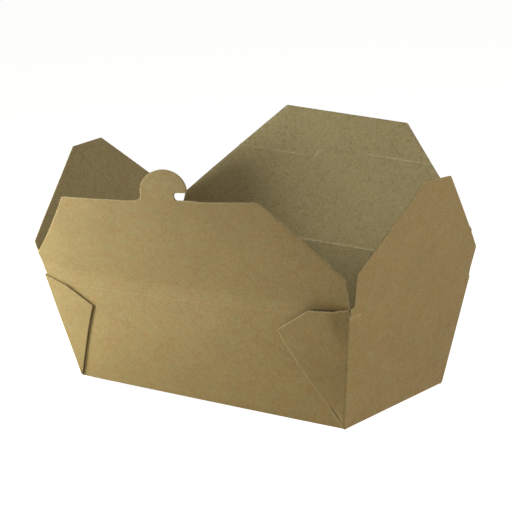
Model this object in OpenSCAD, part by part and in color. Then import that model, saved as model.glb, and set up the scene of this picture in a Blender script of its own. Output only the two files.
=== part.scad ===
// Folded card takeaway box, standing open with its four flaps turned up and out.
// Millimetres. +Z is up, -Y is the front, and the origin is the middle of the underside.

/* [Base and walls] */
// Length of the base, left to right
base_l = 160; // [130:1:220]
// Width of the base, front to back
base_w = 86; // [70:1:140]
// Height of the walls that carry the side flaps
wall_h = 59; // [45:1:90]
// How far each wall leans out by its rim
flare = 11; // [5:0.5:16]

/* [Board] */
// Thickness of the board
board = 0.45; // [0.3:0.05:0.7]
// How far a fold's bead stands proud of the board
fold_bead = 0.06; // [0.03:0.01:0.1]
// Gap that lets a flap turn at the top of its wall
hinge_gap = 0.2; // [0.15:0.05:0.3]
// Air between two closed flaps that lie over each other
stack_gap = 0.4; // [0.3:0.05:0.6]
// Space between the end of a flap and the wall beside it
flap_inset = 0.8; // [0.7:0.1:2]

/* [Corner ears] */
// How far an ear's top edge runs in level from the corner
ear_shoulder_in = 18; // [10:0.5:22]
// Drop from the corner to the end of that edge
ear_shoulder_drop = 6; // [4:0.1:10]
// Drop from the corner to the ear's tip
ear_tip_drop = 17.5; // [13:0.5:24]
// Drop from the corner to where the ear starts
ear_top_drop = 1.5; // [1.2:0.1:3]
// Air between the two layers of an ear
ear_gap = 0.3; // [0.2:0.05:0.6]
// Angle by which the front left ear stands off its wall
ear_swing_front_left = 5; // [3:0.5:30]
// Angle by which the front right ear stands off its wall
ear_swing_front_right = 4; // [3:0.5:30]
// Angle by which the back left ear stands off its wall
ear_swing_back_left = 4; // [3:0.5:30]
// Angle by which the back right ear stands off its wall
ear_swing_back_right = 5; // [3:0.5:30]

/* [Front flap] */
// Length of the front flap from its fold
front_len = 53; // [40:0.5:60]
// Height at which the front flap starts to narrow
front_rise = 13.5; // [6:0.5:20]
// Width of the front flap's far edge
front_top_w = 118; // [90:1:130]
// Angle by which the front flap leans out from upright
front_lean = 25; // [10:1:60]
// Width of the round tab on the front flap
tab_w = 28.5; // [20:0.5:36]
// Height of the tab's straight sides, below its round end
tab_neck = 4.8; // [4.8:0.1:8]
// Height of the tab's round end
tab_round = 11.5; // [8:0.5:16]
// Distance of the tab to the right of the middle
tab_shift = 1.5; // [-5:0.5:5]
// Radius where the tab's left side runs into the flap
tab_fillet = 4.6; // [2:0.2:4.6]
// Depth of the notch cut into the tab's right side
notch_depth = 8; // [5:0.5:10]
// Height of the notch
notch_h = 4.2; // [3.5:0.1:4.2]
// Radius of the notch's inner corners
notch_r = 1.4; // [0.5:0.1:1.6]

/* [Back flap] */
// Length of the back flap from its fold
back_len = 70; // [62:0.5:74]
// Height at which the back flap starts to narrow
back_rise = 16.5; // [6:0.5:24]
// Width of the back flap's far edge
back_top_w = 75; // [60:1:110]
// Angle by which the back flap leans out from upright
back_lean = 24; // [10:1:60]
// Distance of the slit from the back flap's fold
slit_up = 50.5; // [46:0.5:54]
// Step down from the slit to the fold line on its left
slit_step = 5.5; // [3:0.5:7]
// Extra length of the slit at each end of the tab's width
slit_spare = 1; // [0.5:0.5:3]
// Width of the slit
slit_cut = 0.5; // [0.3:0.1:1]
// Radius of the bead along a flap's own fold line
crease_r = 0.25; // [0.2:0.05:0.28]

/* [Side flaps] */
// Length of each side flap from its fold
side_len = 54.5; // [40:0.5:60]
// Height at which a side flap starts to narrow
side_rise = 14.5; // [6:0.5:20]
// Width of a side flap's far edge
side_top_w = 23.5; // [16:0.5:50]
// Angle by which the left flap leans out from upright
left_lean = 16.5; // [5:0.5:60]
// Angle by which the right flap leans out from upright
right_lean = 14.5; // [5:0.5:60]
// Radius of the flaps' far corners
corner_r = 1.5; // [0.5:0.1:3]

/* [Hidden] */

kraft_out = [0.64, 0.56, 0.39];
kraft_in = [0.50, 0.45, 0.33];

// Straight lengths of a rounded corner in an outline
arc_steps = 6;
// Straight lengths of the tab's round end
tab_steps = 18;
// Round faces of the slit's arc
slit_fn = 64;
// Round faces of a fold's bead
fold_fn = 32;

lean = atan(flare / wall_h);
slant = wall_h / cos(lean);
// A wall's end slopes away from square by this angle
end_slope = atan(flare / slant);
// The web between two walls folds in half, which sets the ear's fold line
ear_angle = 45 - end_slope;
corner_len = norm([flare, flare, wall_h]);

fold_r = board / 2 + fold_bead;
// Space between the base's folds and the surface the box stands on
fold_clear = 0.015;
// Height of the base's fold lines
fold_z = fold_r + fold_clear;
stack_step = board + stack_gap;
// Height of a cut that goes right through the board
cut_depth = 4 * board;
side_z = fold_z + wall_h;
back_z = side_z + stack_step;
front_z = back_z + stack_step;

// Radius of the fold that joins the two layers of an ear, and of the roll at the corner
ear_fold_r = board + ear_gap / 2 + fold_bead;
ear_lift = board + ear_gap;
ear_base_rise = 1;
// The rolls at a corner end at different heights, as the layers of a fold do
roll_step = 0.35;

// How far a wall has leant out by the height of a fold
function reach(z) = (z - fold_z) * tan(lean);
// Distance up a wall's face to the height of a fold
function up_wall(z) = (z - fold_z) / cos(lean);

// Outline with each corner [x, y, radius] replaced by an arc
function turn(a, b, c) = let (u = (a - b) / norm(a - b), v = (c - b) / norm(c - b)) acos(u * v);
function side_of(a, b, c) = sign((b[0] - a[0]) * (c[1] - b[1]) - (b[1] - a[1]) * (c[0] - b[0]));
function xy(p) = [p[0], p[1]];
function arc_at(a, b, c, r) =
    let (
        u = (a - b) / norm(a - b),
        v = (c - b) / norm(c - b),
        half = turn(a, b, c) / 2,
        way = side_of(a, b, c),
        centre = b + (u + v) / norm(u + v) * r / sin(half),
        first = b + u * r / tan(half) - centre,
        sweep = way * (180 - 2 * half)
    )
    [for (i = [0:arc_steps]) let (t = sweep * i / arc_steps)
        centre + [first[0] * cos(t) - first[1] * sin(t), first[0] * sin(t) + first[1] * cos(t)]];
function rounded(pts) =
    let (n = len(pts))
    [for (i = [0:n - 1])
        let (a = xy(pts[(i + n - 1) % n]), b = xy(pts[i]), c = xy(pts[(i + 1) % n]), r = pts[i][2])
        each (r > 0 ? arc_at(a, b, c, r) : [b])];

// Board of an outline, with its middle layer in the XY plane
module sheet(pts) {
    translate([0, 0, -board / 2])
        linear_extrude(board) polygon(pts);
}

// Rounded fold that starts at the origin and runs along +Y
module fold(length, r) {
    rotate([-90, 0, 0]) cylinder(h = length, r = r, $fn = fold_fn);
}

// Frame of a panel that stands on an edge along X, with +Y up the panel and +Z outward
module standing(y, z, tilt) {
    translate([0, -y, z]) rotate([90 + tilt, 0, 0]) children();
}

module base() {
    translate([-base_l / 2, -base_w / 2, 0]) cube([base_l, base_w, board]);
    for (side = [-1, 1]) {
        translate([side * base_l / 2, -base_w / 2, fold_z]) fold(base_w, fold_r);
        translate([-base_l / 2, side * base_w / 2, fold_z]) rotate([0, 0, -90]) fold(base_l, fold_r);
    }
}

// Wall that stands on the front edge of a base of the given size, under a fold at hinge_z
module wall(length, depth, hinge_z) {
    top = up_wall(hinge_z) - fold_r - hinge_gap;
    spread = top * tan(end_slope);
    standing(depth / 2, fold_z, lean)
        sheet([
            [-length / 2, 0],
            [length / 2, 0],
            [length / 2 + spread, top],
            [-length / 2 - spread, top]
        ]);
}

// Web at the front right corner, folded double and turned on to the front wall
module ear(swing) {
    tip_y = corner_len - ear_tip_drop;
    tip_x = tip_y * tan(ear_angle);
    root_len = corner_len - ear_top_drop - ear_base_rise;
    outline = [
        [0, 0],
        [0, corner_len - ear_top_drop],
        [-ear_shoulder_in, corner_len - ear_shoulder_drop],
        [-tip_x, tip_y]
    ];
    standing(base_w / 2, fold_z, lean)
        translate([base_l / 2, 0, 0])
        rotate([0, 0, -end_slope]) {
            translate([0, ear_base_rise, 0]) fold(root_len + roll_step, ear_fold_r);
            translate([0, 0, ear_lift]) rotate([0, swing, 0]) {
                translate([0, ear_base_rise, 0]) fold(root_len - roll_step, ear_fold_r);
                for (layer = [-1, 1])
                    translate([0, 0, layer * (board + ear_gap) / 2]) sheet(outline);
                rotate([0, 0, ear_angle])
                    translate([0, ear_base_rise, 0])
                    fold(norm([tip_x, tip_y]) - ear_base_rise, ear_fold_r);
            }
        }
}

// Base, four walls and four ears of one creased sheet
module tray() {
    color(kraft_out) {
        base();
        wall(base_l, base_w, front_z);
        rotate([0, 0, 180]) wall(base_l, base_w, back_z);
        rotate([0, 0, 90]) wall(base_w, base_l, side_z);
        rotate([0, 0, -90]) wall(base_w, base_l, side_z);
        ear(ear_swing_front_right);
        mirror([1, 0, 0]) ear(ear_swing_front_left);
        mirror([0, 1, 0]) ear(ear_swing_back_right);
        mirror([0, 1, 0]) mirror([1, 0, 0]) ear(ear_swing_back_left);
    }
}

// Flap of an outline in its own plane, with a rolled edge along its fold
module flap(pts, half_w) {
    sheet(rounded(pts));
    translate([-half_w, 0, 0]) rotate([0, 0, -90]) fold(2 * half_w, fold_r);
}

module front_flap() {
    half_w = base_l / 2 + reach(front_z) - flap_inset;
    left = tab_shift - tab_w / 2;
    right = tab_shift + tab_w / 2;
    notch_x = right - notch_depth;
    // Round end of the tab, from its right side over to its left
    tab_arc = [for (i = [0:tab_steps]) let (t = 180 * i / tab_steps)
        [tab_shift + tab_w / 2 * cos(t), front_len + tab_neck + tab_round * sin(t), 0]];
    outline = [
        [-half_w, 0, 0],
        [half_w, 0, 0],
        [half_w, front_rise, corner_r],
        [front_top_w / 2, front_len, corner_r],
        [notch_x, front_len, notch_r],
        [notch_x, front_len + notch_h, notch_r],
        [right, front_len + notch_h, 0],
        each tab_arc,
        [left, front_len, tab_fillet],
        [-front_top_w / 2, front_len, corner_r],
        [-half_w, front_rise, corner_r]
    ];
    color(kraft_out)
        standing(base_w / 2 + reach(front_z), front_z, front_lean)
        flap(outline, half_w);
}

// Slit that takes the tab: a straight cut with a quarter round down to the fold line on its left
module slit() {
    straight = tab_w + 2 * slit_spare - slit_step;
    start = tab_shift - tab_w / 2 - slit_spare + slit_step;
    linear_extrude(cut_depth, center = true) {
        translate([start, slit_up - slit_cut / 2]) square([straight, slit_cut]);
        translate([start, slit_up - slit_step])
            intersection() {
                difference() {
                    circle(r = slit_step + slit_cut / 2, $fn = slit_fn);
                    circle(r = slit_step - slit_cut / 2, $fn = slit_fn);
                }
                translate([-2 * slit_step, 0]) square(2 * slit_step);
            }
    }
}

// Half width of the back flap at a distance from its fold, above its square shoulders
function back_half_w(up, half_w) =
    half_w + (back_top_w / 2 - half_w) * (up - back_rise) / (back_len - back_rise);

module back_flap() {
    half_w = base_l / 2 + reach(back_z) - flap_inset;
    outline = [
        [-half_w, 0, 0],
        [half_w, 0, 0],
        [half_w, back_rise, corner_r],
        [back_top_w / 2, back_len, corner_r],
        [-back_top_w / 2, back_len, corner_r],
        [-half_w, back_rise, corner_r]
    ];
    slit_left = tab_shift - tab_w / 2 - slit_spare;
    slit_right = tab_shift + tab_w / 2 + slit_spare;
    right_end = back_half_w(slit_up, half_w);
    left_end = -back_half_w(slit_up - slit_step, half_w);
    color(kraft_in)
        mirror([0, 1, 0])
        standing(base_w / 2 + reach(back_z), back_z, back_lean)
        difference() {
            union() {
                flap(outline, half_w);
                translate([slit_right, slit_up, -board / 2])
                    rotate([0, 0, -90]) fold(right_end - slit_right - corner_r, crease_r);
                translate([left_end + corner_r, slit_up - slit_step, -board / 2])
                    rotate([0, 0, -90]) fold(slit_left - left_end - corner_r, crease_r);
            }
            slit();
        }
}

module side_flap(tilt) {
    half_w = base_w / 2 + reach(side_z) - flap_inset;
    outline = [
        [-half_w, 0, 0],
        [half_w, 0, 0],
        [half_w, side_rise, corner_r],
        [side_top_w / 2, side_len, corner_r],
        [-side_top_w / 2, side_len, corner_r],
        [-half_w, side_rise, corner_r]
    ];
    standing(base_l / 2 + reach(side_z), side_z, tilt) flap(outline, half_w);
}

module left_flap() {
    color(kraft_in) rotate([0, 0, -90]) side_flap(left_lean);
}

module right_flap() {
    color(kraft_out) rotate([0, 0, 90]) side_flap(right_lean);
}

tray();
front_flap();
back_flap();
left_flap();
right_flap();
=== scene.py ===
import math
import bpy
import bmesh
from mathutils import Matrix, Vector
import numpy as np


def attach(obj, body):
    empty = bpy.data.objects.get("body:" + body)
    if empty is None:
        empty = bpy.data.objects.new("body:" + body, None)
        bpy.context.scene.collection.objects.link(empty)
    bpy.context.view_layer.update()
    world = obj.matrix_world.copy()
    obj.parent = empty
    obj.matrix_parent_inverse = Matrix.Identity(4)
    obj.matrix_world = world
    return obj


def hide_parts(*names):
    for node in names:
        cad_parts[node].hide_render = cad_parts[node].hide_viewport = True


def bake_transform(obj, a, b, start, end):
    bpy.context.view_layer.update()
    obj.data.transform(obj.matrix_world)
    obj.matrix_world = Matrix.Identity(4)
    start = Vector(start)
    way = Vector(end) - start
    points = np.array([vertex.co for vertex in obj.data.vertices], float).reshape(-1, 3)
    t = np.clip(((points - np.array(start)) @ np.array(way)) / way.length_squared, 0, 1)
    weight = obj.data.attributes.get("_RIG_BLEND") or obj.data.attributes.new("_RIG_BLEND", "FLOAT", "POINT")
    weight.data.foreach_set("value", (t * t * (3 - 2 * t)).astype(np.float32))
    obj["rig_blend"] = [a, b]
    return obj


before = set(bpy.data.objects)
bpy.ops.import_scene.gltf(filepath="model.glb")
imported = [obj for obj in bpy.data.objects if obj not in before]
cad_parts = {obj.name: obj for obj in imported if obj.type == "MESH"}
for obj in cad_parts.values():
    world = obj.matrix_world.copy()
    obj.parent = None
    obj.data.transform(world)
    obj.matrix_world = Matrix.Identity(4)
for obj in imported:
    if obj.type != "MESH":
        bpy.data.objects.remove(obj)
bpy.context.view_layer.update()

# The box is one creased sheet of kraft board. Each wall is drawn flat together with its flap, scored,
# folded up from the base, and then parted a little below the flap's fold, so that the flap can turn.
# Sizes are in millimetres until a piece is finished.

millimetre = 0.001

carton = dict(
    length=160.0, width=86.0, height=59.0,   # the base, and the walls under the side flaps
    flare=11.0,                              # how far the walls lean out by the rim
    board=0.45,
    foldHeight=0.3,                          # middle of the board at the base's folds
    foldHalf=0.6,                            # half the width of a rounded fold
    seamDrop=1.4,                            # how far below its fold a flap's piece starts
    wallShort=2.9,                           # how far below its fold a long wall's straight ends stop
    wrapFoot=0.8,                            # how far up a side wall starts to reach round its corners
    cornerFill=0.1,                          # how far the base's corners reach past its folds
    baseEase=5.0,                            # how soon the base's middle comes to lie on the table
    mesh=4.0, fineMesh=0.4,                  # spacing of the mesh on open card and at folds
    beadHalf=0.85,                           # half the width of the line that the creasing rule leaves
)

lean = math.atan(carton["flare"] / carton["height"])
slant = carton["height"] / math.cos(lean)
endSlope = math.atan(carton["flare"] / slant)
cornerRun = math.hypot(carton["flare"], slant)

# How the card has settled: the rim's corners stand a little higher or lower than a square box has them
rimShift = dict(frontRight=3.2, frontLeft=-3.0, backRight=-2.8, backLeft=2.0)
settling = dict(
    liftedCorner=1.6, liftFall=1.3,          # the base's front left corner stands off the table
    drawnCorner=(1.4, -0.8), drawnFall=3.0,  # that corner is drawn in at its foot and pushed out at the rim
    reach=50.0,                              # how far up both fade away
    skewEase=0.9, sagFade=1.3,               # how a flap's skew grows, and how a fold's sag ends above it
    bulgePower=1.5, plumpFrom=0.7, plumpRise=16.0,
)
scoring = dict(bead=1.2, above=3.3, below=3.2, flap=5.0, end=0.5)    # where the fine rows start and end
onLine = 0.03                                # a point this near to a line lies on it

sides = dict(
    front=dict(out=Vector((0, -1)), half=carton["length"] / 2, depth=carton["width"] / 2,
               hinge=61.0, lean=25.0, leftEnd="frontLeft", rightEnd="frontRight",
               bulge=3.2, plump=1.0, bend=4.5, bead=0.10, beadDrop=6.2, sag=1.0, scuff=0.6),
    right=dict(out=Vector((1, 0)), half=carton["width"] / 2, depth=carton["length"] / 2,
               hinge=59.3, lean=14.5, leftEnd="frontRight", rightEnd="backRight",
               bulge=0.9, plump=0.4, bend=1.6, bead=0.03, beadDrop=0.0, sag=0.0, scuff=0.0),
    back=dict(out=Vector((0, 1)), half=carton["length"] / 2, depth=carton["width"] / 2,
              hinge=60.15, lean=24.0, leftEnd="backRight", rightEnd="backLeft",
              bulge=1.2, plump=0.3, bend=0.7, bead=0.30, beadDrop=0.0, sag=-1.3, scuff=1.0),
    left=dict(out=Vector((-1, 0)), half=carton["width"] / 2, depth=carton["length"] / 2,
              hinge=59.3, lean=16.5, leftEnd="backLeft", rightEnd="frontLeft",
              bulge=0.8, plump=0.3, bend=0.7, bead=0.2, beadDrop=0.0, sag=0.0, scuff=0.8),
)


def hingeRun(side):                # distance up the wall to its flap's fold
    return (side["hinge"] - carton["foldHeight"]) / math.cos(lean)


def wallHalf(side, up):            # half the width between a wall's two corner folds
    return side["half"] + up * math.tan(endSlope)


def smooth(t):
    t = min(max(t, 0.0), 1.0)
    return t * t * (3 - 2 * t)


def ridge(x, half):                # a rounded ridge about zero
    return 0.5 + 0.5 * math.cos(math.pi * x / half) if abs(x) < half else 0.0


def newCard():                     # every sheet keeps the same notes, in the same order
    card = bmesh.new()
    card.verts.layers.int.new("chain")
    card.verts.layers.float_vector.new("blank")
    for name in ("crease", "paintedShade"):
        card.verts.layers.float.new(name)
    return card


def cutCard(corners):              # corners are (across, up, radius), anticlockwise seen from outside
    card = newCard()
    ring = [card.verts.new((x, y, 0)) for x, y, radius in corners]
    card.faces.new(ring)
    for vert, (x, y, radius) in zip(ring, corners):
        if radius:
            one, two = [(edge.other_vert(vert).co - vert.co).normalized() for edge in vert.link_edges]
            bmesh.ops.bevel(card, geom=[vert], offset=radius / math.tan(one.angle(two) / 2),
                            offset_type="ABSOLUTE", affect="VERTICES", segments=max(3, int(radius * 1.6)),
                            profile=0.5, material=-1)
    bmesh.ops.remove_doubles(card, verts=card.verts, dist=0.04)
    return card


def trimEdge(card, width=0.55):    # a narrow border along the cut edge, for its own wear
    bmesh.ops.inset_region(card, faces=card.faces[:], thickness=width, use_even_offset=True,
                           use_boundary=True)


def cutThrough(card, place, direction, near=0.01, **keep):
    bmesh.ops.bisect_plane(card, geom=card.verts[:] + card.edges[:] + card.faces[:], dist=near,
                           plane_co=place, plane_no=direction, **keep)


def scoreAcross(card, places, axis):
    direction = Vector((1, 0, 0)) if axis == "x" else Vector((0, 1, 0))
    for place in places:
        cutThrough(card, direction * place, direction)


def spaced(low, high, step):
    count = int(math.floor((high - low) / step + 1e-6))
    return [low + step * i for i in range(count + 1)]


def scoreColumns(card, side):
    reach = carton["mesh"] * int(side["half"] / carton["mesh"] + 3)
    scoreAcross(card, spaced(-reach, reach, carton["mesh"]), "x")


def scoreWall(card, side, top):    # rows close together where the card bends, and wide apart elsewhere
    fold, half, wide, fine = hingeRun(side), carton["foldHalf"], carton["mesh"], carton["fineMesh"]
    rows = [-half / 2, 0, half / 2, half] + spaced(wide, fold - wide, wide)
    rows += spaced(fold - side["beadDrop"] - scoring["bead"], fold + scoring["above"], fine)
    rows += spaced(fold - scoring["below"], fold - scoring["bead"], fine)
    rows += spaced(fold + scoring["flap"], top - scoring["end"], wide)
    scoreAcross(card, rows, "y")
    scoreColumns(card, side)


def rounded(point, one, two, half, t):       # a fold rounded between two directions
    start, end = point - one * half, point + two * half
    return start * (1 - t) ** 2 + point * 2 * t * (1 - t) + end * t ** 2


def profile(side, up):             # how far out and how high the card's middle is, and its direction there
    flat, wall = Vector((1, 0)), Vector((math.sin(lean), math.cos(lean)))
    flapLean = math.radians(side["lean"])
    flap = Vector((math.sin(flapLean), math.cos(flapLean)))
    foot, fold, half = Vector((0, carton["foldHeight"])), hingeRun(side), carton["foldHalf"]
    head, bend = foot + wall * fold, side["bend"]
    if up <= half:
        t = (up + half) / (2 * half)
        return rounded(foot, flat, wall, half, t), flat.lerp(wall, t).normalized()
    if up < fold - bend:
        return foot + wall * up, wall
    if up < fold + bend:
        t = (up - fold + bend) / (2 * bend)
        return rounded(head, wall, flap, bend, t), wall.lerp(flap, t).normalized()
    return head + flap * (up - fold), flap


def rimMove(side, share, up):      # the rim's rise or fall, from none at the base; share runs from 0 to 1
    low = min(max(up / hingeRun(side), 0.0), 1.0)
    return low * (rimShift[side["leftEnd"]] * (1 - share) + rimShift[side["rightEnd"]] * share)


def settle(side, across, up):      # how far a point is pushed up in its own plane
    fold = hingeRun(side)
    share = 0.5 + 0.5 * across / wallHalf(side, min(up, fold))
    low = min(max(up / fold, 0.0), 1.0)
    high = min(max((up - fold) / side["length"], 0.0), 1.0)
    left, right = side["skew"]
    shift = rimMove(side, share, up)
    shift += (left * (1 - share) + right * share) * high * (1 + settling["skewEase"] * (1 - high))
    sag = side["sag"] * 4 * share * (1 - share) * smooth(low)
    return shift - sag * (1 - smooth(high * settling["sagFade"]))


def tabCurl(side, across, up):     # the lock tab bends upright: how far out and up it moves, and its turn
    tab = side["tab"]
    if not tab or up < tab["start"]:
        return 0.0, 0.0, 0.0
    flapLean = math.radians(side["lean"])
    beside = abs(across - tab["middle"]) - tab["half"]
    turn = (flapLean - math.radians(tab["lean"])) * smooth(1 - beside / tab["fade"])
    if turn < 0.001:
        return 0.0, 0.0, 0.0
    along = up - tab["start"]
    curve, curved = turn / tab["run"], min(along, tab["run"])
    last = flapLean - curve * curved
    out = (math.cos(last) - math.cos(flapLean)) / curve + math.sin(last) * (along - curved)
    high = (math.sin(flapLean) - math.sin(last)) / curve + math.cos(last) * (along - curved)
    return out - math.sin(flapLean) * along, high - math.cos(flapLean) * along, flapLean - last


def stand(side, across, up, outward):        # a flat point of a side's strip, stood up in the box
    fold = hingeRun(side)
    place, along = profile(side, up)
    curlOut, curlUp, turn = tabCurl(side, across, up)
    place = place + Vector((curlOut, curlUp))
    along = Vector((along.x * math.cos(turn) - along.y * math.sin(turn),
                    along.y * math.cos(turn) + along.x * math.sin(turn)))
    normal = Vector((along.y, -along.x))
    share = across / wallHalf(side, min(max(up, 0.0), fold))
    if 0 < up < fold:
        belly = math.sin(math.pi * up / fold) ** settling["bulgePower"]
        outward += side["bulge"] * max(0.0, 1 - share * share) * belly
    if up > 0:                     # the panels are plump: they turn back towards their two ends
        turned = max(0.0, abs(share) - settling["plumpFrom"]) / (1 - settling["plumpFrom"])
        outward += side["plump"] * (1 - turned ** 2) * smooth(up / settling["plumpRise"])
    if up > fold:
        high = min((up - fold) / side["length"], 1.0)
        outward += side["bow"] * (1 - share * share) * high
    outward -= side["bead"] * ridge(up - fold + side["beadDrop"], carton["beadHalf"])
    place = place + normal * outward + along * settle(side, across, up)
    out = side["out"]
    right = Vector((-out.y, out.x))
    across += rimMove(side, 0.5 + 0.5 * share, up) * share * math.tan(endSlope)    # along the corner folds
    ground = right * across + out * (side["depth"] + place.x)
    return rocked(Vector((ground.x, ground.y, place.y)), up)


def rocked(point, up):             # the box's front left corner is lifted a little, and drawn in
    x, y = point.x / carton["length"], point.y / carton["width"]
    near = min(max(0.5 - x, 0.0), 1.0) * min(max(0.5 - y, 0.0), 1.0)
    foot, rim = settling["drawnCorner"]
    low, fade = min(max(up / slant, 0.0), 1.0), 1 - smooth((up - slant) / settling["reach"])
    inward = (foot + (rim - foot) * low) * near ** settling["drawnFall"] * fade
    lift = settling["liftedCorner"] * near ** settling["liftFall"] * smooth(1 - up / settling["reach"])
    return point + Vector((inward, 0, lift))


def blankSpot(side, across, up):   # where a point lies on the flat blank, for the grain of the board
    out = side["out"]
    return Vector((-out.y, out.x)) * across + out * (side["depth"] + up)


def keepBlank(card, verts, where):
    layer = card.verts.layers.float_vector["blank"]
    for vert in verts:
        spot = where(vert.co.x, vert.co.y)
        vert[layer] = (spot.x, spot.y, 0)


def addTo(target, card):           # joins one sheet's mesh to another's
    mesh = bpy.data.meshes.new("piece")
    card.to_mesh(mesh)
    target.from_mesh(mesh)
    bpy.data.meshes.remove(mesh)
    card.free()


def sheetUp(card, side):           # stands a whole flat strip up
    keepBlank(card, card.verts, lambda across, up: blankSpot(side, across, up))
    layer = card.verts.layers.float["crease"]
    for vert in card.verts:
        up = vert.co.y
        share = vert.co.x / wallHalf(side, min(max(up, 0.0), hingeRun(side)))
        fold = ridge(up - hingeRun(side) + side["beadDrop"], carton["beadHalf"]) * side["scuff"]
        fold *= max(0.0, 1 - share ** 6)         # it fades near the two ends
        vert[layer] = max(vert[layer], fold, 0.5 * ridge(up, carton["beadHalf"]))
        vert.co = stand(side, vert.co.x, up, vert.co.z)


# The corner webs, folded double and laid on the front and back walls. "inward" and "along" are
# measured from the corner fold, in the wall's plane.
# A web's two shade values are painted shade: one under its fold's edge, and one on the wall just behind its top
# edge.
ears = dict(
    frontRight=dict(side="front", end=1, shoulder=(19.2, 56.6), tip=(36.7, 41.4), drop=0.8,
                    swing=1.0, gape=2.8, split=(2.0, 11.5), shade=0.0, shadeBehind=0.9),
    frontLeft=dict(side="front", end=-1, shoulder=(13.2, 53.2), tip=(27.3, 41.8), drop=1.4,
                   swing=0.3, gape=0.2, split=(), shade=0.8, shadeBehind=0.9),
    backRight=dict(side="back", end=-1, shoulder=(19.5, 55.0), tip=(30.5, 44.0), drop=2.6,
                   swing=1.8, gape=0.5, split=(), shade=0.0, shadeBehind=0.6),
    backLeft=dict(side="back", end=1, shoulder=(19.5, 55.0), tip=(30.5, 44.0), drop=1.5,
                  swing=2.4, gape=0.9, split=(1.5, 8.0), shade=0.0, shadeBehind=0.6),
)
web = dict(
    innerInset=0.85, outerInset=0.5, innerLift=0.52, outerLift=1.02, wrap=0.65,
    held=1.2, swingEase=6.0,                 # a web is held this near to its corner, and swings beyond that
    gapeEase=4.0, gapeFrom=40.0, gapeRise=14.0, creaseHalf=0.5,
)
split = dict(depths=(0.4, 0.85, 1.35), rows=(2, 13, 1), sunk=0.22, dark=1.6)    # a fold worn through, with painted shade inside it
shadeEdge = (0.75, 0.4)                      # how far below a web's top edge the painted shade ends, and how softly

chainNames = ["frontRight", "backRight", "backLeft", "frontLeft"]


def chainTag(corner, kind):        # marks the edges that meet at a corner fold
    return 1 + 10 * chainNames.index(corner) + ["wallEnd", "inner", "outer", "wrapEnd"].index(kind)


def tagVerts(card, tag, test):
    layer = card.verts.layers.int["chain"]
    for vert in card.verts:
        if test(vert.co.x, vert.co.y):
            vert[layer] = tag


def cornerPoint(side, end, inward, along):   # from a corner fold's own measures to the wall's plane
    return Vector((end * (side["half"] + along * math.sin(endSlope) - inward * math.cos(endSlope)),
                   along * math.cos(endSlope) + inward * math.sin(endSlope)))


def cornerMeasure(side, end, across, up):    # the same the other way round
    x = across * end - side["half"]
    return up * math.sin(endSlope) - x * math.cos(endSlope), up * math.cos(endSlope) + x * math.sin(endSlope)


def wallEnds(card, side, corner, end, kind, inset):
    tagVerts(card, chainTag(corner, kind), lambda x, y: 0.5 < y < hingeRun(side) - 0.6 and x * end > 0
             and abs(cornerMeasure(side, end, x, y)[0] - inset) < onLine)


def webTop(ear, inward):           # how far along the corner fold a web's top edge lies
    (shoulderIn, shoulderUp), top = ear["shoulder"], cornerRun - ear["drop"]
    return top + (shoulderUp - top) * inward / shoulderIn


def shadeWall(card, ear):          # painted shade on the wall's outside just behind a web's top edge, where the gap behind the web lies in shadow
    paintedShade = card.verts.layers.float["paintedShade"]
    for vert in card.verts:
        inward, along = cornerMeasure(sides[ear["side"]], ear["end"], vert.co.x, vert.co.y)
        if 0 < inward < ear["shoulder"][0] + 1 and along > ear["tip"][1]:
            vert[paintedShade] = ear["shadeBehind"] * smooth((webTop(ear, inward) - shadeEdge[0] - along) / shadeEdge[1])


def cutWeb(corner, ear, name, points, foot, along):       # one layer of a web, flat
    side, end = sides[ear["side"]], ear["end"]
    corners = [cornerPoint(side, end, *point) for point in points]
    card = cutCard([(point.x, point.y, 0) for point in corners[::end]])
    trimEdge(card)
    scoreAcross(card, spaced(carton["mesh"], cornerRun, carton["mesh"]), "y")
    scoreColumns(card, side)
    if ear["split"] and name == "outer":         # finer where the fold has worn through
        scoreAcross(card, spaced(*split["rows"]), "y")
        back = Vector((along.y, -along.x, 0)) * end
        for depth in split["depths"]:
            cutThrough(card, foot.to_3d() + back * depth, back)
    inset = web[name + "Inset"]
    tagVerts(card, chainTag(corner, name),
             lambda x, y: abs(cornerMeasure(side, end, x, y)[0] - inset) < onLine)
    keepBlank(card, card.verts, lambda x, y: webSpot(side, end, name, x, y))
    for vert in card.verts:
        vert.co.z = web[name + "Lift"]
    return card


def foldOver(folded, start, along, end):         # the fold that joins a web's two layers
    rim = []
    for edge in folded.edges:
        if not edge.is_boundary or min(v.co.z for v in edge.verts) < web["outerLift"] - 0.01:
            continue
        offs = [(v.co - start).to_2d() for v in edge.verts]
        if all(abs(off.x * along.y - off.y * along.x) < 0.02 for off in offs):
            rim.append(edge)
    bmesh.ops.spin(folded, geom=rim, cent=start, axis=along.to_3d() * -end, dvec=(0, 0, 0), angle=math.pi,
                   steps=4, use_merge=False, use_normal_flip=False, use_duplicate=False)
    bmesh.ops.remove_doubles(folded, verts=folded.verts, dist=0.02)


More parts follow.
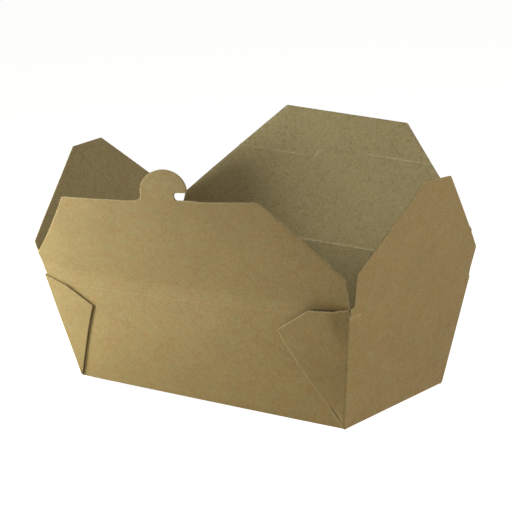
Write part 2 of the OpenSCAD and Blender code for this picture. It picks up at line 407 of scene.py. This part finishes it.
def foldEar(corner, ear):
    side, end = sides[ear["side"]], ear["end"]
    tipIn, tipUp = ear["tip"]
    root = (web["innerInset"], web["innerInset"] * tipUp / tipIn)
    outerTop, innerTop = ((inward, webTop(ear, inward)) for inward in (web["outerInset"], web["innerInset"]))
    layers = dict(outer=[(web["outerInset"], root[1]), outerTop, ear["shoulder"], ear["tip"], root],
                  inner=[innerTop, ear["shoulder"], ear["tip"], root])
    foot = cornerPoint(side, end, 0, 0)
    along = (cornerPoint(side, end, tipIn, tipUp) - foot).normalized()
    start = Vector((*foot, (web["innerLift"] + web["outerLift"]) / 2))
    folded = newCard()
    for name, points in layers.items():
        addTo(folded, cutWeb(corner, ear, name, points, foot, along))
    foldOver(folded, start, along, end)

    crease, paintedShade = (folded.verts.layers.float[name] for name in ("crease", "paintedShade"))
    swing = math.tan(math.radians(ear["swing"]))
    for vert in folded.verts:
        inward, up = cornerMeasure(side, end, vert.co.x, vert.co.y)
        free = max(0.0, inward - web["held"])
        vert.co.z += swing * free * smooth(free / web["swingEase"])
        gape = smooth(free / web["gapeEase"]) * smooth((up - web["gapeFrom"]) / web["gapeRise"])
        vert.co.z += ear["gape"] * gape
        beyondFold = (vert.co.to_2d() - start.to_2d()).dot(Vector((along.y, -along.x))) * end
        vert[crease] = max(vert[crease], 1 - abs(beyondFold) / web["creaseHalf"])
        if beyondFold < 0.1 and vert.co.z < web["outerLift"] - 0.04:         # painted shade below the fold's edge
            vert[paintedShade] = ear["shade"]
        wornAndShaded = 0.0
        if ear["split"]:
            first, last = ear["split"]
            wornAndShaded = ridge(2 * up - first - last, last - first)
        # in the split the outer layer sinks a little, and painted shade darkens it
        if wornAndShaded and vert.co.z > web["outerLift"] - 0.02 and abs(beyondFold - split["depths"][1]) < 0.1:
            vert[paintedShade] = min(1.0, split["dark"] * wornAndShaded)
            vert.co.z -= split["sunk"] * wornAndShaded
        vert.co = stand(side, vert.co.x, vert.co.y, vert.co.z)
    return folded


def webSpot(side, end, layer, x, y):         # where a web's point lies on the flat blank
    inward, along = cornerMeasure(side, end, x, y)
    out, right = side["out"], Vector((-side["out"].y, side["out"].x)) * end
    if layer == "outer":                     # this half hangs on the neighbouring wall
        out, right = right, out
        depth, half = side["half"], side["depth"]
    else:
        depth, half = side["depth"], side["half"]
    return (right * (half + along * math.sin(endSlope) + inward * math.cos(endSlope))
            + out * (depth + along * math.cos(endSlope) - inward * math.sin(endSlope)))


def joinChains(shell, one, two):
    layer = shell.verts.layers.int["chain"]
    edges = [edge for edge in shell.edges if edge.is_boundary
             and ({vert[layer] for vert in edge.verts} in ({one}, {two}))]
    bmesh.ops.bridge_loops(shell, edges=edges)


def cutStrip(name, flap):          # a wall with its flap, as one flat outline
    side = sides[name]
    fold = hingeRun(side)
    low = -carton["foldHalf"]
    tip = flap["topWidth"] / 2
    leftHalf, rightHalf = (wallHalf(side, fold) - inset for inset in flap["inset"])
    if name in ("front", "back"):
        inset, wallTop = web["innerInset"] / math.cos(endSlope), fold - carton["wallShort"]
        ends = [(side["half"] - inset, low, 0), (side["half"] - inset, 0, 0),
                (wallHalf(side, wallTop) - inset, wallTop, 0)]
    else:
        wrap = web["wrap"] / math.cos(endSlope)
        foot = carton["wrapFoot"]
        ends = [(side["half"] + low, low, 0), (wallHalf(side, foot) + wrap, foot, 0)]
    mirrored = [(-x, y, radius) for x, y, radius in reversed(ends)]
    if name in ("front", "back"):
        ends, mirrored = ends + [(rightHalf, fold, 0)], [(-leftHalf, fold, 0)] + mirrored
    else:
        rightTop, leftTop = ((cornerRun - ears[side[end]]["drop"]) * math.cos(endSlope)
                             for end in ("rightEnd", "leftEnd"))
        ends += [(wallHalf(side, rightTop) + wrap, rightTop, 0), (rightHalf, rightTop + 0.3, 0)]
        mirrored = [(-leftHalf, leftTop + 0.3, 0), (-wallHalf(side, leftTop) - wrap, leftTop, 0)] + mirrored
    (leftRise, rightRise), (leftSpread, rightSpread) = flap["rise"], flap["spread"]
    mirrored = [(-leftHalf - leftSpread, fold + leftRise, flap["corner"])] + mirrored
    ends += [(rightHalf + rightSpread, fold + rightRise, flap["corner"])]
    tips = [(flap["tipShift"] + k * tip, fold + flap["length"], flap["corner"]) for k in (1, -1)]
    return ends, tips, mirrored


# At a flap's two ends, "inset" is how far in it starts, "rise" the height of its shoulders, "spread"
# how far they stand out, and "skew" how far its top is pushed up.
frontFlap = dict(
    length=53.0, rise=(12.2, 12.3), topWidth=118.2, tipShift=1.6, inset=(0.2, 0.8), spread=(1.0, 2.0),
    corner=1.5, bow=3.8, skew=(-6.2, 4.3),
    tabWidth=27.3, tabNeck=2.2, tabRound=11.2, tabShift=8.4, tabFillet=4.6,
    tabLean=2.0, tabBend=8.0, tabRoot=2.5, tabFade=9.0,    # it bends from a little below its root
    notchDepth=7.6, notchHeight=3.2, notchRadius=1.3,
)
backFlap = dict(
    length=70.0, rise=(20.8, 15.6), topWidth=75.6, tipShift=0.3, inset=(0.8, 0.8), spread=(-2.9, 0.1),
    corner=1.5, bow=0.8, skew=(-2.6, 2.2),
    slitUp=50.5, slitStep=5.5, slitLeft=-13.75, slitRight=16.75, slitGap=0.2, lip=0.55,
    creaseHeight=0.34, creaseHalf=0.8, creaseFade=2.5,
)
leftFlap = dict(
    length=54.5, rise=(19.0, 15.6), topWidth=22.7, tipShift=-1.2, inset=(0.8, 0.8), spread=(1.0, 3.4),
    corner=1.5, bow=0.6, skew=(1.6, 1.0),
)
rightFlap = dict(
    length=54.5, rise=(15.6, 12.5), topWidth=23.5, tipShift=-3.0, inset=(2.0, 0.8), spread=(3.3, 1.2),
    corner=1.5, bow=0.6, skew=(1.6, 1.3),
)

for name, flap in (("front", frontFlap), ("back", backFlap), ("left", leftFlap), ("right", rightFlap)):
    sides[name].update(length=flap["length"], bow=flap["bow"], skew=flap["skew"], tab=None)
sides["front"]["tab"] = dict(start=hingeRun(sides["front"]) + frontFlap["length"] - frontFlap["tabRoot"],
                             run=frontFlap["tabBend"], lean=frontFlap["tabLean"],
                             middle=frontFlap["tabShift"], half=frontFlap["tabWidth"] / 2,
                             fade=frontFlap["tabFade"])


def frontStrip():
    flap, fold = frontFlap, hingeRun(sides["front"])
    ends, tips, mirrored = cutStrip("front", flap)
    far = fold + flap["length"]
    left, right = (flap["tabShift"] + k * flap["tabWidth"] / 2 for k in (-1, 1))
    notch, neck = right - flap["notchDepth"], far + flap["tabNeck"]
    crown = flap["tabWidth"] / 2
    tab = [(notch, far, flap["notchRadius"]), (notch, far + flap["notchHeight"], flap["notchRadius"]),
           (right, far + flap["notchHeight"], 0), (right, neck + crown, crown - 0.03),
           (left, neck + crown, crown - 0.03), (left, far, flap["tabFillet"])]
    card = cutCard(ends + tips[:1] + tab + tips[1:] + mirrored)
    bmesh.ops.scale(card, vec=(1, flap["tabRound"] / crown, 1), space=Matrix.Translation((0, -neck, 0)),
                    verts=[vert for vert in card.verts if vert.co.y > neck])
    trimEdge(card)
    scoreWall(card, sides["front"], neck + 2 * crown)
    return card


def plainStrip(name, flap):
    ends, tips, mirrored = cutStrip(name, flap)
    card = cutCard(ends + tips + mirrored)
    trimEdge(card)
    scoreWall(card, sides[name], tips[0][1])
    return card


def backStrip():                   # "across" runs to the left on the box, because it is seen from behind
    flap, side = backFlap, sides["back"]
    fold = hingeRun(side)
    ends, tips, mirrored = cutStrip("back", flap)
    upper, lower = fold + flap["slitUp"], fold + flap["slitUp"] - flap["slitStep"]
    first, last = -flap["slitRight"], -flap["slitLeft"]

    def edgeAt(up, shoulder, tip):               # where the flap's edge is, between a shoulder and a tip
        share = (up - shoulder[1]) / (tip[1] - shoulder[1])
        return shoulder[0] + (tip[0] - shoulder[0]) * share

    # the flap is cut in two along its fold line and its slit, and joined again along the fold line
    path = [(edgeAt(upper, mirrored[0], tips[1]), upper, 0), (last, upper, flap["slitStep"] - 0.03),
            (last, lower, 0), (edgeAt(lower, ends[-1], tips[0]), lower, 0)]
    card = cutCard(ends + path[::-1] + mirrored)
    addTo(card, cutCard(tips + path))
    bmesh.ops.remove_doubles(card, verts=card.verts, dist=0.02)
    rows = [place + count * carton["fineMesh"] for place in (lower, upper) for count in (-2, -1, 1, 2)]
    scoreAcross(card, rows, "y")
    scoreWall(card, side, tips[0][1])
    scoreAcross(card, [first], "x")

    def onSlit(vert):
        x, y = vert.co.x, vert.co.y
        straight = abs(y - upper) < 0.02 and first - 0.02 < x < last - flap["slitStep"] + 0.1
        reach = math.hypot(x - last + flap["slitStep"], y - lower)
        arc = x > last - flap["slitStep"] - 0.02 and abs(reach - flap["slitStep"]) < 0.12 and y > lower - 0.02
        return straight or arc

    slit = [edge for edge in card.edges if not edge.is_boundary and all(onSlit(v) for v in edge.verts)]
    bmesh.ops.split_edges(card, edges=slit)

    crease = card.verts.layers.float["crease"]
    for vert in card.verts:        # beads along the fold line, and the lower lip pushed out to the inside
        x, y = vert.co.x, vert.co.y
        right = smooth((first - x) / flap["creaseFade"])
        left = smooth((x - last) / flap["creaseFade"])
        bead = right * ridge(y - upper, flap["creaseHalf"]) + left * ridge(y - lower, flap["creaseHalf"])
        vert[crease] = bead
        vert.co.z -= flap["creaseHeight"] * bead
    for vert in card.verts:
        x, y = vert.co.x, vert.co.y
        if vert.is_boundary and onSlit(vert):
            below = sum(face.calc_center_median().y for face in vert.link_faces) / len(vert.link_faces) < y
            middle = math.sin(math.pi * min(max((x - first) / (last - first), 0), 1))
            if below:
                vert.co.y -= flap["slitGap"] * middle
                vert.co.z -= flap["lip"] * middle
    return card


def cutBase():                     # its edges meet the strips, and its corners reach under the webs
    footX, footY = carton["length"] / 2 - carton["foldHalf"], carton["width"] / 2 - carton["foldHalf"]
    farX, farY = carton["length"] / 2 + carton["cornerFill"], carton["width"] / 2 + carton["cornerFill"]
    innerEnd = carton["length"] / 2 - web["innerInset"] / math.cos(endSlope)
    quarter = [(footX, footY), (farX, footY), (farX, farY), (innerEnd, farY), (innerEnd, footY)]
    outline = (quarter + [(-x, y) for x, y in quarter[::-1]] + [(-x, -y) for x, y in quarter]
               + [(x, -y) for x, y in quarter[::-1]])
    base = cutCard([(x, y, 0) for x, y in outline])
    scoreAcross(base, spaced(-76, 76, carton["mesh"]) + [-innerEnd, innerEnd], "x")  # as on the strips
    scoreAcross(base, spaced(-40, 40, carton["mesh"]), "y")
    keepBlank(base, base.verts, lambda x, y: Vector((x, y)))
    for vert in base.verts:        # the base lies a hair below its folds
        near = min(footX - abs(vert.co.x), footY - abs(vert.co.y))
        sunk = (carton["foldHeight"] - carton["board"] / 2) * smooth(near / carton["baseEase"])
        vert.co.z = carton["foldHeight"] - sunk
        vert.co = rocked(vert.co, 0)
    return base


print("cutting and folding the card")
strips = dict(front=frontStrip(), right=plainStrip("right", rightFlap), back=backStrip(),
              left=plainStrip("left", leftFlap))
for corner, ear in ears.items():
    wallEnds(strips[ear["side"]], sides[ear["side"]], corner, ear["end"], "wallEnd", web["innerInset"])
    shadeWall(strips[ear["side"]], ear)
for corner, name, end in (("frontRight", "right", -1), ("backRight", "right", 1),
                          ("backLeft", "left", -1), ("frontLeft", "left", 1)):
    wallEnds(strips[name], sides[name], corner, end, "wrapEnd", -web["wrap"])

# The flaps turn about the box's own joints, and each one's piece takes the last of its wall with it.
tray = newCard()
addTo(tray, cutBase())
flapParts = {}
for name, card in strips.items():
    side = sides[name]
    sheetUp(card, side)
    seam = Vector((0, 0, side["hinge"] - carton["seamDrop"]))
    flapParts[name] = card.copy()
    cutThrough(flapParts[name], seam, (0, 0, 1), near=0.001, clear_inner=True)
    cutThrough(card, seam, (0, 0, 1), near=0.001, clear_outer=True)
    addTo(tray, card)

print("folding the corner webs")
for corner, ear in ears.items():
    addTo(tray, foldEar(corner, ear))
bmesh.ops.remove_doubles(tray, verts=[v for v in tray.verts if v.co.z < 0.4], dist=0.02)
for corner in ears:
    joinChains(tray, chainTag(corner, "wallEnd"), chainTag(corner, "inner"))
    joinChains(tray, chainTag(corner, "wrapEnd"), chainTag(corner, "outer"))


def faceOut(card, direction, test):          # the smooth side of the board is the outside
    bmesh.ops.recalc_face_normals(card, faces=card.faces)
    face = max(card.faces, key=test)
    face.normal_update()
    if face.normal.dot(Vector(direction)) < 0:
        bmesh.ops.reverse_faces(card, faces=card.faces)


def finishCard(name, card, node, materials, seam=None):
    blank = card.verts.layers.float_vector["blank"]
    flat = card.loops.layers.uv.new("flat")
    wear = card.verts.layers.float.new("cutEdge")
    for vert in card.verts:
        vert[wear] = 1.0 if vert.is_boundary and not (seam and abs(vert.co.z - seam) < 0.02) else 0.0
    for face in card.faces:
        face.smooth = True
        for loop in face.loops:
            loop[flat].uv = (loop.vert[blank] * millimetre).to_2d()
    bmesh.ops.scale(card, vec=[millimetre] * 3, verts=card.verts)
    mesh = bpy.data.meshes.new(name)
    card.to_mesh(mesh)
    card.free()
    for material in materials:
        mesh.materials.append(material)
    piece = bpy.data.objects.new(name, mesh)
    bpy.context.scene.collection.objects.link(piece)
    board = piece.modifiers.new("board", "SOLIDIFY")
    board.thickness = carton["board"] * millimetre
    board.offset = 0
    board.material_offset = 1
    board.material_offset_rim = 2
    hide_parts(node)
    return piece


# Kraft board: long pressed fibres, cloudy colour, a few dark specks, and pale rubbed edges. All of it is
# laid out on the flat blank, in metres, so that it runs on across the folds.
print("mixing the kraft board")
# The outside's last colour is painted shade, for the gaps behind and under the webs and inside the split.
outsideLook = dict(
    ruddy=(0.342, 0.216, 0.074), olive=(0.318, 0.252, 0.098), blotch=0.95,
    paleFibre=(0.46, 0.355, 0.165), darkFibre=(0.20, 0.135, 0.048), rubbed=(0.52, 0.425, 0.215),
    paleShare=0.7, darkShare=0.7, fibreMix=0.20, cloud=0.10, fleck=0.16, rough=(0.58, 0.74), relief=0.10,
    gloss=0.35, edgeShare=0.75, creaseShare=0.45, speckled=False, paintedShade=(0.030, 0.018, 0.006),
)
insideLook = dict(
    ruddy=(0.372, 0.274, 0.110), olive=(0.338, 0.284, 0.130), blotch=0.6,
    paleFibre=(0.56, 0.495, 0.30), darkFibre=(0.20, 0.150, 0.066), rubbed=(0.66, 0.58, 0.36),
    paleShare=0.9, darkShare=0.9, fibreMix=0.30, cloud=0.12, fleck=0.22, rough=(0.78, 0.92), relief=0.6,
    gloss=0.35, edgeShare=0.6, creaseShare=0.75, speckled=True, paintedShade=None,
)
cutLook = dict(pale=(0.50, 0.415, 0.235), deep=(0.30, 0.225, 0.105), speck=0.0011, rough=(0.8, 0.98),
               bump=0.3, relief=0.0003, gloss=0.2)
grain = dict(                                # lengths in metres
    clouds=0.024, pale=(0.0034, 0.00062), dark=(0.0030, 0.00070), relief=0.0006,
    sway=0.0024, swayScale=90.0, turns=(0.15, 0.95, -0.65, 1.55),
    cut=0.80, cutShare=0.35, soft=0.12,      # how much of a noise counts as fibre
)
chip = dict(spacing=0.0085, rare=0.80, size=0.085, soft=0.02, colour=(0.03, 0.022, 0.012))
rub = dict(scale=420.0, low=0.30, high=0.62, edgeFall=1.6, creaseFall=2.0)


def feed(tree, node, socket, value):         # a link or a plain value
    if isinstance(value, bpy.types.NodeSocket):
        tree.links.new(value, node.inputs[socket])
    else:
        node.inputs[socket].default_value = value


def addNode(tree, kind, feeds=None, **settings):
    node = tree.nodes.new("ShaderNode" + kind)
    for name, value in settings.items():
        setattr(node, name, value)
    for socket, value in (feeds or {}).items():
        feed(tree, node, socket, value)
    return node


def newGroup(name, inputs, outputs):
    group = bpy.data.node_groups.new(name, "ShaderNodeTree")
    for label, kind, value in inputs:
        socket = group.interface.new_socket(name=label, in_out="INPUT", socket_type="NodeSocket" + kind)
        if value is not None:
            socket.default_value = value
    for label, kind in outputs:
        group.interface.new_socket(name=label, in_out="OUTPUT", socket_type="NodeSocket" + kind)
    return group, group.nodes.new("NodeGroupInput").outputs, group.nodes.new("NodeGroupOutput").inputs


def useGroup(tree, group, feeds):
    node = tree.nodes.new("ShaderNodeGroup")
    node.node_tree = group
    for socket, value in feeds.items():
        feed(tree, node, socket, value)
    return node.outputs


def plainMath(tree, how, one, two):
    return addNode(tree, "Math", {0: one, 1: two}, operation=how).outputs[0]


def vectorMath(tree, how, one, two):
    second = "Scale" if how == "SCALE" else 1
    return addNode(tree, "VectorMath", {0: one, second: two}, operation=how).outputs[0]


def spread(tree, value, low, high, start=0.0, end=1.0, **settings):          # from low-high to start-end
    return addNode(tree, "MapRange", {"Value": value, "From Min": low, "From Max": high,
                                      "To Min": start, "To Max": end}, **settings).outputs[0]


def mixColour(tree, share, one, two):
    node = addNode(tree, "Mix", data_type="RGBA")
    for socket, value in ((0, share), (6, one), (7, two)):
        feed(tree, node, socket, (*value, 1) if isinstance(value, tuple) else value)
    return node.outputs[2]


def fibreGroup():                  # one lot of fibres that lie roughly one way, as a mask
    group, given, out = newGroup("kraft fibres", [
        ("Vector", "Vector", None), ("Turn", "Float", 0.0), ("Length", "Float", 0.004),
        ("Width", "Float", 0.0006), ("Share", "Float", 0.3), ("Place", "Float", 0.0)],
        [("Mask", "Float"), ("Height", "Float")])
    sway = addNode(group, "TexNoise", {"Vector": given["Vector"], "Scale": grain["swayScale"], "Detail": 0.0})
    steady = addNode(group, "VectorRotate", {"Vector": given["Vector"], "Angle": given["Turn"]},
                     rotation_type="Z_AXIS").outputs[0]
    drift = vectorMath(group, "SUBTRACT", sway.outputs["Color"], (0.5, 0.5, 0.5))
    steady = vectorMath(group, "ADD", steady, vectorMath(group, "SCALE", drift, grain["sway"]))
    size = addNode(group, "CombineXYZ", {0: given["Length"], 1: given["Width"], 2: 1.0}).outputs[0]
    moved = addNode(group, "CombineXYZ", {0: given["Place"], 1: given["Place"], 2: given["Place"]}).outputs[0]
    drawn = vectorMath(group, "ADD", vectorMath(group, "DIVIDE", steady, size), moved)
    strands = addNode(group, "TexNoise", {"Vector": drawn, "Scale": 1.0, "Detail": 0.6, "Roughness": 0.5})
    low = plainMath(group, "MULTIPLY", given["Share"], grain["cutShare"])
    low = plainMath(group, "SUBTRACT", grain["cut"], low)
    mask = spread(group, strands.outputs["Fac"], low, plainMath(group, "ADD", low, grain["soft"]),
                  interpolation_type="SMOOTHSTEP")
    group.links.new(mask, out["Mask"])
    group.links.new(strands.outputs["Fac"], out["Height"])
    return group


fibres = fibreGroup()


def fibreWebGroup():               # fibres laid in several directions
    group, given, out = newGroup("kraft fibre web", [
        ("Vector", "Vector", None), ("Length", "Float", 0.004), ("Width", "Float", 0.0006),
        ("Share", "Float", 0.3), ("Place", "Float", 0.0)], [("Mask", "Float"), ("Height", "Float")])
    mask = height = None
    for count, turn in enumerate(grain["turns"]):
        feeds = {name: given[name] for name in ("Vector", "Length", "Width", "Share")}
        feeds["Turn"] = turn
        feeds["Place"] = plainMath(group, "ADD", given["Place"], 7.3 * count)          # each lot differs
        lot = useGroup(group, fibres, feeds)
        mask = lot["Mask"] if mask is None else plainMath(group, "MAXIMUM", mask, lot["Mask"])
        height = lot["Height"] if height is None else plainMath(group, "ADD", height, lot["Height"])
    group.links.new(mask, out["Mask"])
    group.links.new(plainMath(group, "MULTIPLY", height, 1 / len(grain["turns"])), out["Height"])
    return group


def mottleGroup():                 # broad clouds and small blotches, each about zero to one
    group, given, out = newGroup("kraft mottle", [("Vector", "Vector", None), ("Size", "Float", 0.02)],
                                 [("Clouds", "Float"), ("Blotches", "Float"), ("Flecks", "Float")])
    scale = plainMath(group, "DIVIDE", 1.0, given["Size"])
    for name, times, detail in (("Clouds", 1.0, 2.0), ("Blotches", 4.6, 3.0), ("Flecks", 19.0, 2.0)):
        noise = addNode(group, "TexNoise", {"Vector": given["Vector"], "Detail": detail, "Roughness": 0.6,
                                            "Scale": plainMath(group, "MULTIPLY", scale, times)})
        group.links.new(spread(group, noise.outputs["Fac"], 0.32, 0.68), out[name])
    return group


def speckGroup():                  # a rare dark chip of bark, less than a millimetre across
    group, given, out = newGroup("bark specks", [("Vector", "Vector", None), ("Spacing", "Float", 0.009)],
                                 [("Mask", "Float")])
    scale = plainMath(group, "DIVIDE", 1.0, given["Spacing"])
    cells = addNode(group, "TexVoronoi", {"Vector": given["Vector"], "Scale": scale})
    lot = addNode(group, "SeparateColor", {0: cells.outputs["Color"]}).outputs
    size = spread(group, lot[0], chip["rare"], 1.0, 0.0, chip["size"])
    inside = plainMath(group, "SUBTRACT", size, cells.outputs["Distance"])
    group.links.new(spread(group, inside, 0.0, chip["soft"]), out["Mask"])
    return group


def rubbedGroup():                 # uneven wear along cut edges and creases
    group, given, out = newGroup("rubbed edges", [
        ("Vector", "Vector", None), ("Edge", "Float", 0.0), ("Crease", "Float", 0.0),
        ("Edge share", "Float", 0.8), ("Crease share", "Float", 0.5)], [("Mask", "Float")])
    noise = addNode(group, "TexNoise", {"Vector": given["Vector"], "Scale": rub["scale"], "Detail": 3.0})
    uneven = spread(group, noise.outputs["Fac"], rub["low"], rub["high"])
    edge = plainMath(group, "POWER", given["Edge"], rub["edgeFall"])
    crease = plainMath(group, "POWER", given["Crease"], rub["creaseFall"])
    edge = plainMath(group, "MULTIPLY", edge, given["Edge share"])
    crease = plainMath(group, "MULTIPLY", crease, given["Crease share"])
    wear = plainMath(group, "MULTIPLY", plainMath(group, "MAXIMUM", edge, crease), uneven)
    group.links.new(wear, out["Mask"])
    return group


fibreWeb, mottle, specks, rubbed = fibreWebGroup(), mottleGroup(), speckGroup(), rubbedGroup()


def readNote(tree, name):          # a value that the mesh carries
    return addNode(tree, "Attribute", attribute_name=name).outputs["Fac"]


def kraftMaterial(name, look):
    material = bpy.data.materials.new(name)
    material.use_nodes = True
    tree = material.node_tree
    shader = tree.nodes["Principled BSDF"]
    blank = addNode(tree, "UVMap", uv_map="flat").outputs[0]
    cloudy = useGroup(tree, mottle, {"Vector": blank, "Size": grain["clouds"]})
    pale, dark = (useGroup(tree, fibreWeb, {"Vector": blank, "Length": grain[lot][0], "Width": grain[lot][1],
                                            "Share": look[lot + "Share"], "Place": place})
                  for lot, place in (("pale", 0.0), ("dark", 41.0)))
    tint = spread(tree, cloudy["Blotches"], 0.0, 1.0, 0.5 - look["blotch"] / 2, 0.5 + look["blotch"] / 2)
    colour = mixColour(tree, tint, look["olive"], look["ruddy"])
    shade = 1.0
    for kind, amount in (("Clouds", look["cloud"]), ("Flecks", look["fleck"])):
        part = spread(tree, cloudy[kind], 0.0, 1.0, 1 - amount / 2, 1 + amount / 2)
        shade = plainMath(tree, "MULTIPLY", part, shade)
    colour = vectorMath(tree, "SCALE", colour, shade)
    for lot, shown in ((dark, "darkFibre"), (pale, "paleFibre")):
        strength = plainMath(tree, "MULTIPLY", lot["Mask"], look["fibreMix"])
        colour = mixColour(tree, strength, colour, look[shown])
    if look["speckled"]:
        chips = useGroup(tree, specks, {"Vector": blank, "Spacing": chip["spacing"]})
        colour = mixColour(tree, chips["Mask"], colour, chip["colour"])
    wear = useGroup(tree, rubbed, {
        "Vector": blank, "Edge": readNote(tree, "cutEdge"), "Crease": readNote(tree, "crease"),
        "Edge share": look["edgeShare"], "Crease share": look["creaseShare"]})["Mask"]
    colour = mixColour(tree, wear, colour, look["rubbed"])
    # painted shade where the mesh notes it: behind and under the webs, and inside the split
    if look["paintedShade"]:
        colour = mixColour(tree, readNote(tree, "paintedShade"), colour, look["paintedShade"])
    tree.links.new(colour, shader.inputs["Base Color"])
    dull, duller = look["rough"]
    tree.links.new(spread(tree, pale["Height"], 0.35, 0.65, duller, dull), shader.inputs["Roughness"])
    shader.inputs["Specular IOR Level"].default_value = look["gloss"]
    relief = plainMath(tree, "ADD", pale["Height"], plainMath(tree, "MULTIPLY", cloudy["Flecks"], 0.25))
    bump = addNode(tree, "Bump", {"Height": relief, "Strength": look["relief"], "Distance": grain["relief"]})
    tree.links.new(bump.outputs[0], shader.inputs["Normal"])
    return material


def cutMaterial():                 # the cut edge shows the board's paler middle, pressed in layers
    material = bpy.data.materials.new("kraftCut")
    material.use_nodes = True
    tree = material.node_tree
    shader = tree.nodes["Principled BSDF"]
    spot = addNode(tree, "TexCoord").outputs["Object"]
    grit = addNode(tree, "TexNoise", {"Vector": spot, "Scale": 1 / cutLook["speck"], "Detail": 3.0})
    uneven = spread(tree, grit.outputs["Fac"], 0.35, 0.65)
    tree.links.new(mixColour(tree, uneven, cutLook["deep"], cutLook["pale"]), shader.inputs["Base Color"])
    dull, duller = cutLook["rough"]
    tree.links.new(spread(tree, grit.outputs["Fac"], 0.0, 1.0, dull, duller), shader.inputs["Roughness"])
    bump = addNode(tree, "Bump", {"Height": grit.outputs["Fac"], "Strength": cutLook["bump"],
                                  "Distance": cutLook["relief"]})
    tree.links.new(bump.outputs[0], shader.inputs["Normal"])
    shader.inputs["Specular IOR Level"].default_value = cutLook["gloss"]
    return material


boardMaterials = [kraftMaterial("kraftOutside", outsideLook), kraftMaterial("kraftInside", insideLook),
                  cutMaterial()]


def nearFloor(face):               # the lowest face, and of those the one nearest to the middle
    middle = face.calc_center_median()
    return -abs(middle.z) - middle.length * 0.001


faceOut(tray, (0, 0, -1), nearFloor)
trayPiece = finishCard("trayCard", tray, "tray", boardMaterials)
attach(trayPiece, "tray")

slots = dict(front="kraft_outside", back="kraft_inside", left="kraft_inside", right="kraft_outside")
for name, slotName in slots.items():
    side, node = sides[name], name + "_flap"
    out = side["out"].to_3d()
    faceOut(flapParts[name], out, lambda face: face.calc_center_median().z)
    piece = finishCard(name + "FlapCard", flapParts[name], node, boardMaterials,
                       side["hinge"] - carton["seamDrop"])
    tilt = (lean + math.radians(side["lean"])) / 2         # halfway between the wall and the flap
    up = out * math.sin(tilt) + Vector((0, 0, math.cos(tilt)))
    hinge = out * (side["depth"] + (side["hinge"] - carton["foldHeight"]) * math.tan(lean))
    hinge.z = side["hinge"]
    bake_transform(piece, "tray", node, start=(hinge - up * 1.2) * millimetre, end=(hinge + up * 1.2) * millimetre)

print("lights, floor and camera")
view = dict(turn=36.0, lift=13.16, roll=-1.34, reach=0.9925, aimX=0.00005, aimZ=0.06415,
            focal=2010.45, picture=512, sensor=36)         # the focal length is in pixels of the picture
studio = dict(soft=(1.0, 0.94, 0.84), strength=0.095, floor=(0.8, 0.8, 0.79), rough=0.9, glow=0.9)


def placeCamera():
    camera = bpy.data.cameras.new("camera")
    camera.sensor_width = view["sensor"]
    camera.lens = view["focal"] / view["picture"] * view["sensor"]
    camera.clip_start, camera.clip_end = 0.01, 20
    holder = bpy.data.objects.new("camera", camera)
    bpy.context.scene.collection.objects.link(holder)
    holder.matrix_world = (Matrix.Translation((view["aimX"], 0, view["aimZ"]))
                           @ Matrix.Rotation(math.radians(view["turn"]), 4, "Z")
                           @ Matrix.Rotation(math.radians(90 - view["lift"]), 4, "X")
                           @ Matrix.Rotation(math.radians(view["roll"]), 4, "Z")
                           @ Matrix.Translation((0, 0, view["reach"])))
    bpy.context.scene.camera = holder


placeCamera()


def placeLamp(name, place, aim, size, power, colour):
    lamp = bpy.data.lights.new(name, "AREA")
    lamp.shape = "DISK"
    lamp.size = size
    lamp.energy = power
    lamp.color = colour
    holder = bpy.data.objects.new(name, lamp)
    bpy.context.scene.collection.objects.link(holder)
    holder.location = place
    holder.rotation_euler = (Vector(place) - Vector(aim)).to_track_quat("Z", "Y").to_euler()


placeLamp("nearLeft", (-0.27, -0.20, 0.12), (0, -0.03, 0.06), 0.13, 1.0, (0.96, 1.0, 0.94))
placeLamp("frontLeft", (-0.45, -0.45, 0.40), (0, -0.03, 0.06), 0.3, 0.75, (1.0, 0.94, 0.90))
placeLamp("right", (0.8, 0.0, 0.45), (0, 0, 0.06), 0.6, 3.5, (1.0, 0.95, 0.88))


def seenRays(tree, path):          # camera, mirror and see-through rays find a white background
    either = plainMath(tree, "MAXIMUM", path.outputs["Is Camera Ray"], path.outputs["Is Glossy Ray"])
    return plainMath(tree, "MAXIMUM", either, path.outputs["Is Transmission Ray"])


def plainWorld():
    world = bpy.data.worlds.new("studio")
    bpy.context.scene.world = world
    world.use_nodes = True
    nodes, links = world.node_tree.nodes, world.node_tree.links
    nodes.clear()
    out, soft, white, mix, path = (nodes.new("ShaderNode" + kind) for kind in
                                   ("OutputWorld", "Background", "Background", "MixShader", "LightPath"))
    soft.inputs["Color"].default_value = (*studio["soft"], 1)
    soft.inputs["Strength"].default_value = studio["strength"]
    white.inputs["Color"].default_value = (1, 1, 1, 1)
    white.inputs["Strength"].default_value = 1.0
    links.new(seenRays(world.node_tree, path), mix.inputs["Fac"])
    links.new(soft.outputs[0], mix.inputs[1])
    links.new(white.outputs[0], mix.inputs[2])
    links.new(mix.outputs[0], out.inputs["Surface"])


plainWorld()


def layFloor():
    floor = bmesh.new()
    bmesh.ops.create_grid(floor, x_segments=1, y_segments=1, size=4)
    mesh = bpy.data.meshes.new("floor")
    floor.to_mesh(mesh)
    floor.free()
    piece = bpy.data.objects.new("floor", mesh)
    bpy.context.scene.collection.objects.link(piece)
    material = bpy.data.materials.new("floor")
    material.use_nodes = True
    nodes, links = material.node_tree.nodes, material.node_tree.links
    shader = nodes["Principled BSDF"]
    shader.inputs["Base Color"].default_value = (*studio["floor"], 1)
    shader.inputs["Roughness"].default_value = studio["rough"]
    shader.inputs["Specular IOR Level"].default_value = 0.0
    path = nodes.new("ShaderNodeLightPath")
    glow = plainMath(material.node_tree, "MULTIPLY", seenRays(material.node_tree, path), studio["glow"])
    shader.inputs["Emission Color"].default_value = (1, 1, 1, 1)
    links.new(glow, shader.inputs["Emission Strength"])
    mesh.materials.append(material)


layFloor()

bpy.context.scene.view_settings.view_transform = "Standard"
